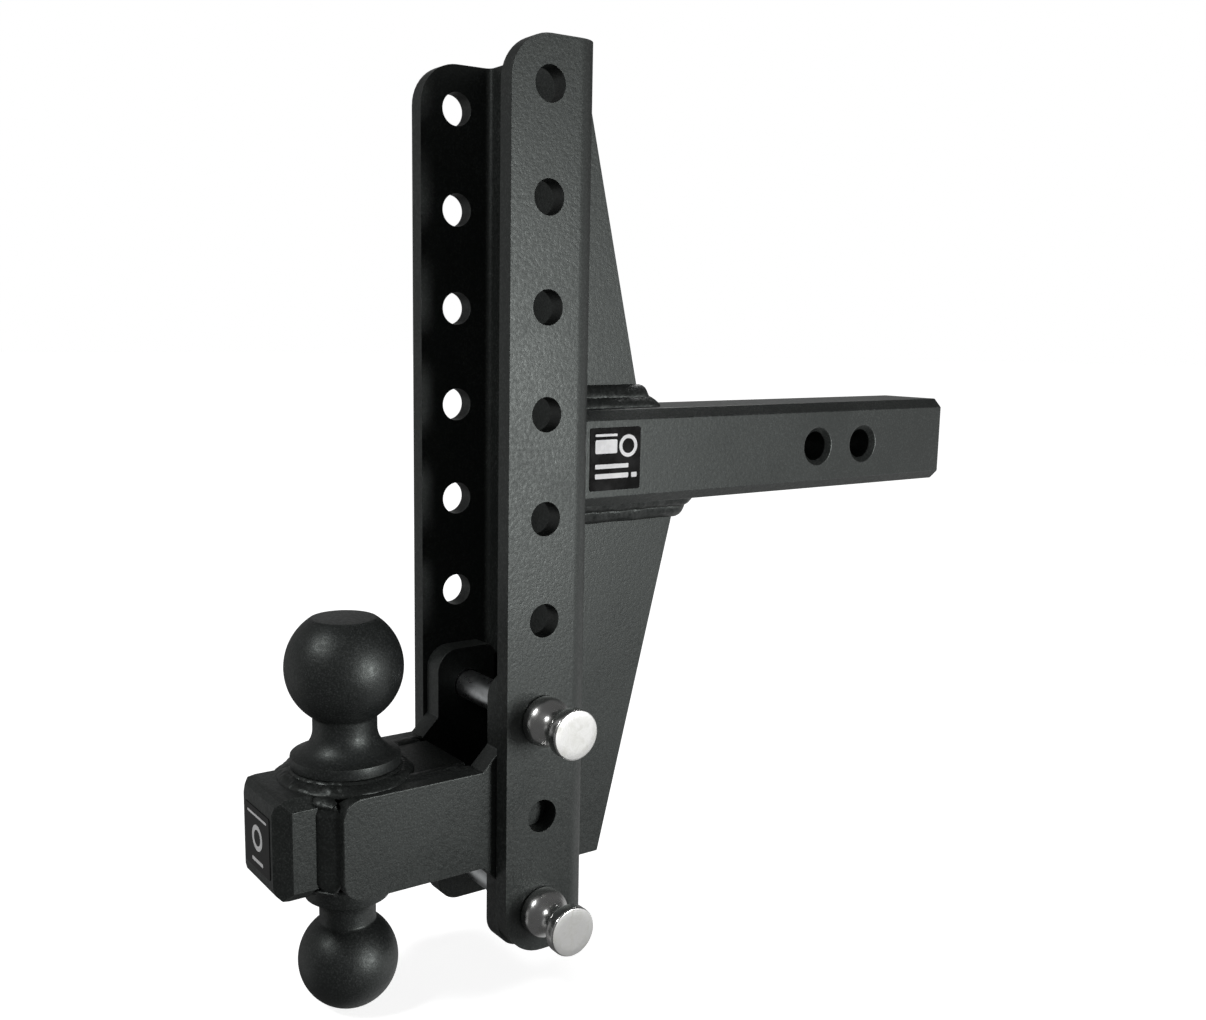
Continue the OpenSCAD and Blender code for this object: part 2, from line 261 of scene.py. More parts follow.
labelSettings = {
    "film": {"dark": (0.004, 0.004, 0.004), "light": (0.012, 0.012, 0.012),
             "rough": (0.16, 0.26), "specular": 0.16},
    "print": {"dark": (0.78, 0.78, 0.79), "light": (0.92, 0.92, 0.92),
              "rough": (0.22, 0.34), "specular": 0.4},
}


def labelStock(name, c):
    mat, tree, shader = newMaterial(name)
    here = objectCoords(tree)
    cloud = noise(tree, here, 90, 3, 0.6)
    fibre = noise(tree, here, 1600, 2, 0.5)
    tint = blendColour(tree, ramp(tree, cloud, 0.35, 0.7, 0.0, 1.0), c["dark"], c["light"])
    tree.links.new(tint, shader.inputs["Base Color"])
    tree.links.new(ramp(tree, cloud, 0.3, 0.7, c["rough"][0], c["rough"][1]), shader.inputs["Roughness"])
    shader.inputs["Specular IOR Level"].default_value = c["specular"]
    soft = bump(tree, cloud, 0.4, 0.00012)
    tree.links.new(bump(tree, fibre, 0.3, 0.00001, soft), shader.inputs["Normal"])
    return mat


labelFilm = labelStock("labelFilm", labelSettings["film"])
labelPrint = labelStock("labelPrint", labelSettings["print"])
print("materials made")


# ---- putting a finished piece on the frame ----
def addPiece(name, mesh, body, nodes):
    obj = bpy.data.objects.new(name, mesh)
    bpy.context.scene.collection.objects.link(obj)
    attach(obj, body)
    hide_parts(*nodes)
    return obj


# the object's mesh with its modifiers applied, as a plain mesh; the object is removed
def plainMesh(obj, name):
    bpy.context.view_layer.update()
    graph = bpy.context.evaluated_depsgraph_get()
    done = obj.evaluated_get(graph)
    mesh = bpy.data.meshes.new_from_object(done, preserve_all_data_layers=True, depsgraph=graph)
    mesh.name = name
    obj.modifiers.clear()
    bpy.data.objects.remove(obj)
    return mesh


# ---- plates and bars: the frame's shape with its arrises eased ----
easedPieces = {
    "channelPlate": {"node": "channel", "ease": 0.9, "steps": 3},
    "shankBar": {"node": "shank", "ease": 1.3, "steps": 3},
    "gussetUpper": {"node": "gusset_upper", "ease": 0.7, "steps": 3},
    "gussetLower": {"node": "gusset_lower", "ease": 0.7, "steps": 3},
    "cheekNear": {"node": "cheek_near", "ease": 0.9, "steps": 3},
    "cheekFar": {"node": "cheek_far", "ease": 0.9, "steps": 3},
    "centreBar": {"node": "centre_bar", "ease": 1.2, "steps": 3},
}


def easedCopy(name, s):
    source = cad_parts[s["node"]].data
    bm = bmesh.new()
    verts = [bm.verts.new(v.co) for v in source.vertices]
    for p in source.polygons:
        bm.faces.new([verts[i] for i in p.vertices])
    bmesh.ops.remove_doubles(bm, verts=bm.verts, dist=0.000004)
    bmesh.ops.dissolve_limit(bm, angle_limit=math.radians(0.6), verts=bm.verts, edges=bm.edges)
    bmesh.ops.recalc_face_normals(bm, faces=bm.faces)
    mesh = bpy.data.meshes.new(name)
    bm.to_mesh(mesh)
    bm.free()
    mesh.materials.append(powderCoat)
    mesh.materials.append(coatEdge)
    mesh.shade_smooth()
    obj = bpy.data.objects.new(name, mesh)
    bpy.context.scene.collection.objects.link(obj)
    ease = obj.modifiers.new("ease", "BEVEL")
    ease.width = s["ease"] / 1000
    ease.segments = s["steps"]
    ease.limit_method = "ANGLE"
    ease.angle_limit = math.radians(28)
    ease.material = 1
    ease.miter_outer = "MITER_ARC"
    obj.modifiers.new("flats", "WEIGHTED_NORMAL").keep_sharp = True
    addPiece(name, plainMesh(obj, name), "hitch", [s["node"]])


for pieceName, pieceSettings in easedPieces.items():
    easedCopy(pieceName, pieceSettings)
print("plates and bars made")


# ---- turned pieces: a profile of (radius, height) spun about an axis ----
def arc(cx, cz, r, start, end, steps):
    angles = [math.radians(start + (end - start) * i / steps) for i in range(steps + 1)]
    return [(cx + r * math.cos(a), cz + r * math.sin(a)) for a in angles]


def spun(name, profile, centre, along, around, segments, pickMaterial):
    bm = bmesh.new()
    mark = bm.verts.layers.float.new("turned")
    across = along.cross(around)
    rings, run = [], 0.0
    for i, (r, h) in enumerate(profile):
        if i:
            run += math.hypot(r - profile[i - 1][0], h - profile[i - 1][1])
        if r < 1e-7:
            ring = [bm.verts.new(centre + along * h)]
        else:
            ring = [bm.verts.new(centre + along * h + (around * math.cos(a) + across * math.sin(a)) * r)
                    for a in (2 * math.pi * k / segments for k in range(segments))]
        for v in ring:
            v[mark] = run
        rings.append(ring)
    for i in range(1, len(rings)):
        a, b = rings[i - 1], rings[i]
        for k in range(segments):
            n = (k + 1) % segments
            corners = [a[k % len(a)], a[n % len(a)], b[n % len(b)], b[k % len(b)]]
            corners = [c for j, c in enumerate(corners) if c not in corners[:j]]
            face = bm.faces.new(corners)
            face.material_index = pickMaterial(i - 1)
    bmesh.ops.recalc_face_normals(bm, faces=bm.faces)
    mesh = bpy.data.meshes.new(name)
    bm.to_mesh(mesh)
    bm.free()
    mesh.shade_smooth()
    mesh.set_sharp_from_angle(angle=math.radians(38))
    return mesh


# ---- balls ----
ballSettings = {
    "upper": {"piece": "ballUpper", "node": "ball_upper", "sign": 1, "r": 29.37, "flat": 16.0, "neck": 16.0,
              "collar": 27.3, "under": 4.6, "inset": 3.3, "rim": 5.6, "flare": 13.0},
    "lower": {"piece": "ballLower", "node": "ball_lower", "sign": -1, "r": 25.4, "flat": 0.0, "neck": 14.3,
              "collar": 21.5, "under": 4.2, "inset": 3.3, "rim": 8.5, "flare": 7.2},
}


def makeBall(s):
    low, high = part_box(s["node"])
    foot = low.z if s["sign"] > 0 else high.z
    reach = (high.z - low.z) * 1000
    lift = reach - math.sqrt(s["r"] ** 2 - s["flat"] ** 2)     # ball centre above the foot
    c, n, f = s["collar"], s["neck"], s["flare"]
    base = s["under"] + s["rim"]
    spread = c - n
    top = base + math.sqrt(max(0, f * f - (f - spread) ** 2))
    turnEnd = math.degrees(math.acos((f - spread) / f))
    points = [(0, 0), (c - s["inset"], 0), (c - s["inset"], s["under"]), (c - 0.5, s["under"])]
    points += arc(c - 0.5, s["under"] + 0.5, 0.5, -70, 0, 3)
    points += [(c, base - 0.6), (c - 0.12, base - 0.1)]
    # the flare: a quarter round that runs from the rim up into the neck
    points += [(n + f - f * math.cos(math.radians(a)), top - f * math.sin(math.radians(a)))
               for a in [turnEnd * (1 - i / 12) for i in range(1, 13)]]
    meet = lift - math.sqrt(s["r"] ** 2 - n ** 2)
    points += [(n, meet - 0.9), (n + 0.12, meet - 0.25)]
    startAngle = -math.degrees(math.acos(n / s["r"])) + 1.2
    endAngle = math.degrees(math.acos(s["flat"] / s["r"])) - (1.0 if s["flat"] else 0.0)
    points += arc(0, lift, s["r"], startAngle, endAngle, 60)
    if s["flat"]:
        points += [(s["flat"] - 0.15, reach - 0.06), (s["flat"] - 0.7, reach), (0, reach)]
    else:
        points[-1] = (0, points[-1][1])
    profile = [(max(0, r) / 1000, h / 1000) for r, h in points]
    place = Vector((0, ballY, foot))
    axis = Vector((0, 0, s["sign"]))
    mesh = spun(s["piece"], profile, place, axis, Vector((1, 0, 0)), 144, lambda i: 0)
    mesh.materials.append(ballCoat)
    addPiece(s["piece"], mesh, "hitch", [s["node"]])


for side in ("upper", "lower"):
    makeBall(ballSettings[side])
print("balls made")


# ---- geometry node trees ----
def startTree(name, sockets):
    tree = bpy.data.node_groups.new(name, "GeometryNodeTree")
    face = tree.interface
    face.new_socket("Geometry", in_out="INPUT", socket_type="NodeSocketGeometry")
    for label, kind, value in sockets:
        socket = face.new_socket(label, in_out="INPUT", socket_type=kind)
        if value is not None:
            socket.default_value = value
    face.new_socket("Geometry", in_out="OUTPUT", socket_type="NodeSocketGeometry")
    return tree, tree.nodes.new("NodeGroupInput"), tree.nodes.new("NodeGroupOutput")


def wire(tree, source, target):
    tree.links.new(source, target)


def named(tree, label, kind="FLOAT"):
    node = tree.nodes.new("GeometryNodeInputNamedAttribute")
    node.data_type = kind
    node.inputs["Name"].default_value = label
    return node.outputs["Attribute"]


def vectorNode(tree, kind, a, b=None):
    node = tree.nodes.new("ShaderNodeVectorMath")
    node.operation = kind
    tree.links.new(a, node.inputs[0])
    if b is not None:
        tree.links.new(b, node.inputs["Scale"] if kind == "SCALE" else node.inputs[1])
    return node.outputs["Value"] if kind == "DOT_PRODUCT" else node.outputs["Vector"]


def store(tree, geometry, label, value, kind="FLOAT"):
    node = tree.nodes.new("GeometryNodeStoreNamedAttribute")
    node.data_type = kind
    node.domain = "POINT"
    node.inputs["Name"].default_value = label
    tree.links.new(geometry, node.inputs["Geometry"])
    tree.links.new(value, node.inputs["Value"])
    return node.outputs["Geometry"]


# a round bar along each path, as thick as the path's "thick" attribute says
def sweep(tree, group, step, around):
    toCurve = tree.nodes.new("GeometryNodeMeshToCurve")
    wire(tree, group.outputs["Geometry"], toCurve.inputs["Mesh"])
    resample = tree.nodes.new("GeometryNodeResampleCurve")
    resample.mode = "LENGTH"
    wire(tree, toCurve.outputs["Curve"], resample.inputs["Curve"])
    wire(tree, step, resample.inputs["Length"])
    along = tree.nodes.new("GeometryNodeSplineParameter")
    place = tree.nodes.new("GeometryNodeInputPosition")
    curve = store(tree, resample.outputs["Curve"], "along", along.outputs["Length"])
    curve = store(tree, curve, "core", place.outputs["Position"], "FLOAT_VECTOR")
    circle = tree.nodes.new("GeometryNodeCurvePrimitiveCircle")
    circle.inputs["Radius"].default_value = 1.0
    wire(tree, around, circle.inputs["Resolution"])
    body = tree.nodes.new("GeometryNodeCurveToMesh")
    body.inputs["Fill Caps"].default_value = True
    wire(tree, named(tree, "thick"), body.inputs["Scale"])
    wire(tree, curve, body.inputs["Curve"])
    wire(tree, circle.outputs["Curve"], body.inputs["Profile Curve"])
    return body.outputs["Mesh"]


def endTree(tree, geometry, group, out):
    smooth = tree.nodes.new("GeometryNodeSetShadeSmooth")
    real = tree.nodes.new("GeometryNodeRealizeInstances")
    dress = tree.nodes.new("GeometryNodeSetMaterial")
    wire(tree, geometry, smooth.inputs["Geometry"])
    wire(tree, smooth.outputs["Geometry"], real.inputs["Geometry"])
    wire(tree, real.outputs["Geometry"], dress.inputs["Geometry"])
    wire(tree, group.outputs["Finish"], dress.inputs["Material"])
    wire(tree, dress.outputs["Geometry"], out.inputs["Geometry"])


# weld bead: a bar along its path, pressed flat along its crown, with crescents and a wandering height
def beadTree():
    tree, group, out = startTree("weldBead", [
        ("Ripple Pitch", "NodeSocketFloat", 0.0026),
        ("Ripple Depth", "NodeSocketFloat", 0.00025),
        ("Crescent", "NodeSocketFloat", 1.1),
        ("Height", "NodeSocketFloat", 0.42),
        ("Wander", "NodeSocketFloat", 0.0012),
        ("Lump Size", "NodeSocketFloat", 90.0),
        ("Seed", "NodeSocketFloat", 3.0),
        ("Around", "NodeSocketInt", 32),
        ("Finish", "NodeSocketMaterial", None),
    ])
    step = mathNode(tree, "DIVIDE", group.outputs["Ripple Pitch"], 7.0)
    mesh = sweep(tree, group, step, group.outputs["Around"])
    place = tree.nodes.new("GeometryNodeInputPosition").outputs["Position"]
    fromCore = vectorNode(tree, "SUBTRACT", place, named(tree, "core", "FLOAT_VECTOR"))
    crown = vectorNode(tree, "NORMALIZE", named(tree, "crown", "FLOAT_VECTOR"))
    lift = vectorNode(tree, "DOT_PRODUCT", fromCore, crown)
    facing = vectorNode(tree, "DOT_PRODUCT", vectorNode(tree, "NORMALIZE", fromCore), crown)
    press = mathNode(tree, "MULTIPLY", lift, mathNode(tree, "SUBTRACT", group.outputs["Height"], 1.0))
    lag = mathNode(tree, "MULTIPLY", mathNode(tree, "SUBTRACT", 1.0, facing), group.outputs["Crescent"])
    steps = mathNode(tree, "DIVIDE", named(tree, "along"), group.outputs["Ripple Pitch"])
    phase = mathNode(tree, "ADD", steps, lag)
    sine = mathNode(tree, "SINE", mathNode(tree, "MULTIPLY", phase, math.pi), 0.0)
    wave = mathNode(tree, "ABSOLUTE", sine, 0.0)
    ripple = mathNode(tree, "MULTIPLY", wave, group.outputs["Ripple Depth"])
    lump = tree.nodes.new("ShaderNodeTexNoise")
    lump.noise_dimensions = "4D"
    lump.inputs["Detail"].default_value = 2.0
    wire(tree, place, lump.inputs["Vector"])
    wire(tree, group.outputs["Seed"], lump.inputs["W"])
    wire(tree, group.outputs["Lump Size"], lump.inputs["Scale"])
    uneven = mathNode(tree, "SUBTRACT", lump.outputs["Fac"], 0.5)
    swell = mathNode(tree, "MULTIPLY", uneven, group.outputs["Wander"])
    shown = mathNode(tree, "POWER", mathNode(tree, "MAXIMUM", facing, 0.0), 0.6)
    surface = mathNode(tree, "MULTIPLY", mathNode(tree, "ADD", ripple, swell), shown)
    rise = mathNode(tree, "ADD", press, surface)
    move = tree.nodes.new("GeometryNodeSetPosition")
    wire(tree, mesh, move.inputs["Geometry"])
    wire(tree, vectorNode(tree, "SCALE", crown, rise), move.inputs["Offset"])
    endTree(tree, move.outputs["Geometry"], group, out)
    return tree


# round wire along its path
def wireTree():
    tree, group, out = startTree("bentWire", [
        ("Step", "NodeSocketFloat", 0.0006),
        ("Around", "NodeSocketInt", 24),
        ("Finish", "NodeSocketMaterial", None),
    ])
    mesh = sweep(tree, group, group.outputs["Step"], group.outputs["Around"])
    mesh = store(tree, mesh, "turned", named(tree, "along"))
    endTree(tree, mesh, group, out)
    return tree


# runs: lists of (point, crown, thickness); closed runs join up
def pathObject(name, runs):
    mesh = bpy.data.meshes.new(name)
    points, edges, crowns, thick = [], [], [], []
    for run, closed in runs:
        first = len(points)
        for p, c, t in run:
            points.append(p)
            crowns.extend(c)
            thick.append(t)
        edges += [(first + i, first + i + 1) for i in range(len(run) - 1)]
        if closed:
            edges.append((len(points) - 1, first))
    mesh.from_pydata(points, edges, [])
    mesh.attributes.new("crown", "FLOAT_VECTOR", "POINT").data.foreach_set("vector", crowns)
    mesh.attributes.new("thick", "FLOAT", "POINT").data.foreach_set("value", thick)
    obj = bpy.data.objects.new(name, mesh)
    bpy.context.scene.collection.objects.link(obj)
    return obj


def grown(name, runs, tree, values):
    obj = pathObject(name, runs)
    modifier = obj.modifiers.new(tree.name, "NODES")
    modifier.node_group = tree
    for item in tree.interface.items_tree:
        if item.in_out == "INPUT" and item.name in values:
            modifier[item.identifier] = values[item.name]
    mesh = plainMesh(obj, name)
    for spare in ("core", "crown", "thick", "along"):
        if spare in mesh.attributes:
            mesh.attributes.remove(mesh.attributes[spare])
    return mesh


beadNodes = beadTree()
wireNodes = wireTree()


# ---- weld beads ----
def millimetres(points):
    return [Vector(p) / 1000 for p in points]


def densified(points, gap=0.003):
    result = [points[0]]
    for a, b in zip(points, points[1:]):
        count = max(1, round((b - a).length / gap))
        result += [a.lerp(b, i / count) for i in range(1, count + 1)]
    return result


# a straight or bent run of one bead, thin at its two ends
def beadRun(points, crown, thickness):
    taper = 2
    points = densified(points)
    last = len(points) - 1
    run = []
    for i, p in enumerate(points):
        edge = min(i, last - i)
        share = 1 if edge >= taper else 0.45 + 0.55 * edge / taper
        direction = crown(p) if callable(crown) else Vector(crown)
        run.append((p, tuple(direction.normalized()), thickness * share))
    return run, False


def ringRun(centre, radius, lift, thickness, up):
    run = []
    for k in range(96):
        a = 2 * math.pi * k / 96
        out = Vector((math.cos(a), math.sin(a), 0))
        crown = (out + Vector((0, 0, up))).normalized()
        run.append((centre + out * radius + Vector((0, 0, lift)), tuple(crown), thickness))
    return run, True


def weldPiece(s, runs, look):
    mesh = grown(s["piece"], runs, beadNodes, dict(look, Finish=weldCoat, Seed=s["seed"]))
    addPiece(s["piece"], mesh, "hitch", [s["node"]])


footWeld = {
    "upper": {"piece": "weldGussetUpper", "node": "weld_gusset_upper", "gusset": "gusset_upper", "sign": 1,
              "toe": (3.2, 9.5), "ripple": 0.00018, "seed": 3.0},
    "lower": {"piece": "weldGussetLower", "node": "weld_gusset_lower", "gusset": "gusset_lower", "sign": -1,
              "toe": (2.8, 7.5), "ripple": 0.00006, "seed": 11.0},
    # passes: (off the gusset, off the bar, thickness, how much it faces out, drop past the end)
    "passes": [(2.6, 8.2, 4.7, 1.25, 4.6), (6.4, 2.6, 4.5, 0.9, 1.2)],
    "upWeb": {"off": 3.6, "thick": 5.4, "fromBar": 10, "fromEnd": 5},
    "swellAtToe": 0.28,
    "look": {"Ripple Pitch": 0.0034, "Height": 0.42, "Wander": 0.0024, "Lump Size": 110.0},
}


def makeFootWeld(s, common):
    low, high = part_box(s["gusset"])
    sign = s["sign"]
    z0 = sign * half * 1000
    y0, y1 = webY * 1000, high.y * 1000
    side = gussetSide * 1000
    far = (high.z if sign > 0 else low.z) * 1000
    runs = []

    # one pass round the foot, sloping down past its end
    def footPass(off, lift, thickness, out, drop, past):
        reach, z, turn = side + off, z0 + sign * lift, y1 - 2
        pts = [(reach, y0 + 3, z), (reach, turn, z)]
        for a in (math.radians(degrees) for degrees in range(12, 180, 12)):
            pts.append((reach * math.cos(a), turn + (2 + past) * math.sin(a), z - sign * drop * math.sin(a)))
        pts += [(-reach, turn, z), (-reach, y0 + 3, z)]

        def pastEnd(p):
            return max(0, p.y * 1000 - turn) / (2 + past)

        def crown(p):
            return Vector((p.x * 1000 / reach, pastEnd(p), 0)).normalized() * out + Vector((0, 0, sign))

        run, closed = beadRun(millimetres(pts), crown, thickness / 1000)
        swell = common["swellAtToe"]
        runs.append(([(p, c, t * (1 + swell * min(1, pastEnd(p)))) for p, c, t in run], closed))

    for numbers, past in zip(common["passes"], s["toe"]):
        footPass(*numbers, past)
    up = common["upWeb"]
    for x in (1, -1):
        foot = (x * (side + up["off"]), y0 + up["off"], z0 + sign * up["fromBar"])
        end = (foot[0], foot[1], far - sign * up["fromEnd"])
        runs.append(beadRun(millimetres([foot, end]), (x, 1, 0), up["thick"] / 1000))
    weldPiece(s, runs, dict(common["look"], **{"Ripple Depth": s["ripple"]}))


for side in ("upper", "lower"):
    makeFootWeld(footWeld[side], footWeld)

shankWeld = {
    "piece": "weldShank", "node": "weld_shank", "seed": 5.0,
    "out": 3.3, "off": 3.8, "thick": 5.4, "bevel": 5.2, "start": 12.5, "forward": 0.9,
    "look": {"Ripple Pitch": 0.0032, "Height": 0.42, "Ripple Depth": 0.0003, "Wander": 0.0014},
}


def makeShankWeld(s):
    h, b = half * 1000 + s["out"], half * 1000 - s["bevel"] + s["out"] / 3
    y = webY * 1000 + s["off"]

    def crown(p):
        outward = Vector((p.x if abs(p.x) > half else 0, 0, p.z if abs(p.z) > half else 0)).normalized()
        return outward + Vector((0, s["forward"], 0))

    runs = []
    for x in (1, -1):
        upper = [(x * s["start"], y, h), (x * b, y, h), (x * h, y, b)]
        pts = upper + [(px, py, -pz) for px, py, pz in reversed(upper)]
        runs.append(beadRun(millimetres(pts), crown, s["thick"] / 1000))
    weldPiece(s, runs, s["look"])


makeShankWeld(shankWeld)

ringWeld = {
    # beads: (out from the collar, up from the bar, half width, how much it faces up)
    "upper": {"piece": "weldBallUpper", "node": "weld_ball_upper", "sign": 1, "collar": 27.3, "seed": 7.0,
              "beads": [(0.3, 2.2, 2.6, 0.8), (3.0, 0.6, 4.3, 2.2)]},
    "lower": {"piece": "weldBallLower", "node": "weld_ball_lower", "sign": -1, "collar": 21.5, "seed": 9.0,
              "beads": [(0.3, 2.0, 2.4, 0.8), (2.6, 0.5, 3.7, 2.2)]},
    "look": {"Ripple Pitch": 0.0036, "Height": 0.50, "Ripple Depth": 0.00010,
             "Wander": 0.0034, "Lump Size": 115.0},
}


def makeRingWeld(s, look):
    centre = Vector((0, ballY, armTop if s["sign"] > 0 else armBottom))
    runs = [ringRun(centre, (s["collar"] + out) / 1000, s["sign"] * lift / 1000, thick / 1000, s["sign"] * up)
            for out, lift, thick, up in s["beads"]]
    weldPiece(s, runs, look)


for side in ("upper", "lower"):
    makeRingWeld(ringWeld[side], ringWeld["look"])

cheekWeld = {
    "near": {"piece": "weldCheekNear", "node": "weld_cheek_near", "sign": 1, "seed": 13.0},
    "far": {"piece": "weldCheekFar", "node": "weld_cheek_far", "sign": -1, "seed": 17.0},
    "look": {"Ripple Pitch": 0.0042, "Height": 0.34, "Ripple Depth": 0.00006,
             "Wander": 0.0022, "Lump Size": 75.0},
}


def makeCheekWeld(s, look):
    x = half * 1000
    front, rear = armFront * 1000, barHigh.y * 1000
    top, bottom = armTop * 1000, armBottom * 1000
    runs = []

    def add(pts, crown, thickness):
        pts = [(s["sign"] * px, py, pz) for px, py, pz in pts]
        runs.append(beadRun(millimetres(pts), (s["sign"] * crown[0], crown[1], crown[2]), thickness / 1000))

    for z, up in ((top, 1), (bottom, -1)):
        # on the bar, then on the cheek
        add([(x - 2.6, front + 3, z - up * 0.6), (x - 2.6, rear - 3, z - up * 0.6)], (-0.25, 0, up), 4.6)
        add([(x + 2.6, front + 7, z - up * 0.5), (x + 2.6, rear + 1, z - up * 0.5)], (0.2, 0, up), 3.8)
        # round the cheek's front corner
        corner = [(x - 8, front - 6.0, z - up * 1.4), (x, front - 4.8, z - up * 2.0)]
        add(corner + [(x + 6.5, front - 1.6, z - up * 3.2)], (0.4, -0.5, up), 4.4)
    # beside the nose, then behind the bar
    add([(x + 3.2, front - 3.2, top - 3), (x + 3.2, front - 3.2, bottom + 3)], (1, -1, 0), 7.2)
    add([(x - 3.8, rear + 3.8, top - 5), (x - 3.8, rear + 3.8, bottom + 5)], (-1, 1, 0), 5.6)
    weldPiece(s, runs, look)


for side in ("near", "far"):
    makeCheekWeld(cheekWeld[side], cheekWeld["look"])
print("weld beads made")


# ---- pins ----
pinSettings = {
    "shaft": 7.94, "tip": 1.5, "disc": 12.7, "headLength": 28.4, "hole": 1.95, "holeIn": 9.0,
    # (below the disc's radius, along the head), from the flange out
    "waist": [(0.0, 4.2), (0.5, 6.0), (1.6, 7.8), (3.2, 9.6), (4.6, 11.4), (5.4, 13.4), (5.6, 15.6),
              (5.2, 17.8), (4.0, 19.8), (2.2, 21.4), (0.5, 22.4), (0.0, 23.4)],
    "pins": {"pinUpper": ("pin_upper", "upper_pin"), "pinLower": ("pin_lower", "lower_pin")},
}


def smoothLine(points, steps):
    line = []
    for i in range(len(points) - 1):
        p = [Vector(points[max(0, min(len(points) - 1, i + k))]) for k in (-1, 0, 1, 2)]
        for j in range(steps):
            t = j / steps
            line.append(0.5 * (2 * p[1] + (p[2] - p[0]) * t + (2 * p[0] - 5 * p[1] + 4 * p[2] - p[3]) * t * t
                               + (3 * p[1] - p[0] - 3 * p[2] + p[3]) * t ** 3))
    return line + [Vector(points[-1])]


def makePin(name, node, body, s):
    low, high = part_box(node)
    tip, end = low.x * 1000, high.x * 1000
    seat = end - s["headLength"]
    r, d = s["shaft"], s["disc"]
    points = [(0, tip), (r - s["tip"] - 0.4, tip), (r - s["tip"], tip + 0.15)]
    points += [(r - 0.1, tip + s["tip"] - 0.1), (r, tip + s["tip"] + 0.2)]
    points += [(r, tip + 20), (r, tip + 60), (r, seat - 20), (r, seat - 0.01)]
    shaftEnd = len(points)
    points += [(d - 0.8, seat)] + arc(d - 0.8, seat + 0.8, 0.8, -75, 0, 4)
    points += [(d - v.x, seat + v.y) for v in smoothLine([(a, b, 0) for a, b in s["waist"]], 4)]
    points += arc(d - 0.9, end - 0.9, 0.9, 0, 90, 5)
    faceStart = len(points)
    points += [(8.0, end), (4.0, end), (1.2, end), (0, end)]
    profile = [(rr / 1000, h / 1000) for rr, h in points]
    centre = Vector((0, (low.y + high.y) / 2, (low.z + high.z) / 2))
    mesh = spun(name, profile, centre, Vector((1, 0, 0)), Vector((0, 1, 0)), 128,
                lambda i: 0 if i < shaftEnd - 1 else 2 if i >= faceStart - 2 else 1)
    for finish in (pinShaft, pinHead, pinFace):
        mesh.materials.append(finish)
    # the hole that the clip goes through
    drill = bpy.data.meshes.new("drill")
    bm = bmesh.new()
    bore = s["hole"] / 1000
    bmesh.ops.create_cone(bm, cap_ends=True, segments=48, radius1=bore, radius2=bore, depth=0.03)
    bmesh.ops.translate(bm, verts=bm.verts, vec=(low.x + s["holeIn"] / 1000, centre.y, centre.z))
    bm.to_mesh(drill)
    bm.free()
    drill.materials.append(pinShaft)
    tool = bpy.data.objects.new("drill", drill)
    blank = bpy.data.objects.new(name, mesh)
    for o in (tool, blank):
        bpy.context.scene.collection.objects.link(o)
    cut = blank.modifiers.new("hole", "BOOLEAN")
    cut.object = tool
    cut.solver = "EXACT"
    made = plainMesh(blank, name)
    bpy.data.objects.remove(tool)
    made.set_sharp_from_angle(angle=math.radians(38))
    addPiece(name, made, body, [node])


for pieceName, (node, body) in pinSettings["pins"].items():
    makePin(pieceName, node, body, pinSettings)
print("pins made")


# ---- clips: (along Y, along Z) from the pin's axis, in mm ----
clipSettings = {
    "wire": 3.2, "leg": 26.0, "bendR": 4.0,
    "bow": [(8.0, 26.0), (7.6, 21.5), (7.2, 18.0), (8.4, 12.5), (10.4, 8.0), (11.3, 3.0), (11.3, -3.0),
            (10.4, -8.0), (10.7, -15.0), (13.4, -23.0)],
    "clips": {"clipUpper": ("clip_upper", "upper_clip"), "clipLower": ("clip_lower", "lower_clip")},
}


def makeClip(name, node, body, s):
    low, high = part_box(node)
    r = s["wire"] / 2000
    x = (low.x + high.x) / 2
    y = low.y + r
    z = low.z + r + s["leg"] / 1000
    top = s["leg"]
    flat = [(0.0, -top), (0.0, -top / 3), (0.0, top / 3), (0.0, top)]
    for a in (math.radians(degrees) for degrees in range(15, 180, 15)):
        flat.append((s["bendR"] - s["bendR"] * math.cos(a), top + s["bendR"] * math.sin(a)))
    flat += [(p[0], p[1]) for p in smoothLine([(a, b, 0) for a, b in s["bow"]], 5)]
    points = [Vector((x, y + a / 1000, z + b / 1000)) for a, b in flat]
    # the two ends are rounded off
    points[0] += Vector((0, 0, -r * 0.9))
    extra = (points[-1] - points[-2]).normalized() * r * 0.9
    points.append(points[-1] + extra)
    line = densified(points, 0.0005)
    length = [0.0]
    for a, b in zip(line, line[1:]):
        length.append(length[-1] + (b - a).length)
    run = []
    for p, run0 in zip(line, length):
        edge = min(run0, length[-1] - run0) / (r * 0.95)
        share = math.sqrt(max(0.02, 1 - (1 - edge) ** 2)) if edge < 1 else 1
        run.append((p, (1, 0, 0), r * share))
    mesh = grown(name, [(run, False)], wireNodes, {"Finish": clipSteel, "Step": 0.0005, "Around": 24})
    addPiece(name, mesh, body, [node])


for pieceName, (node, body) in clipSettings["clips"].items():
    makeClip(pieceName, node, body, clipSettings)
print("clips made")


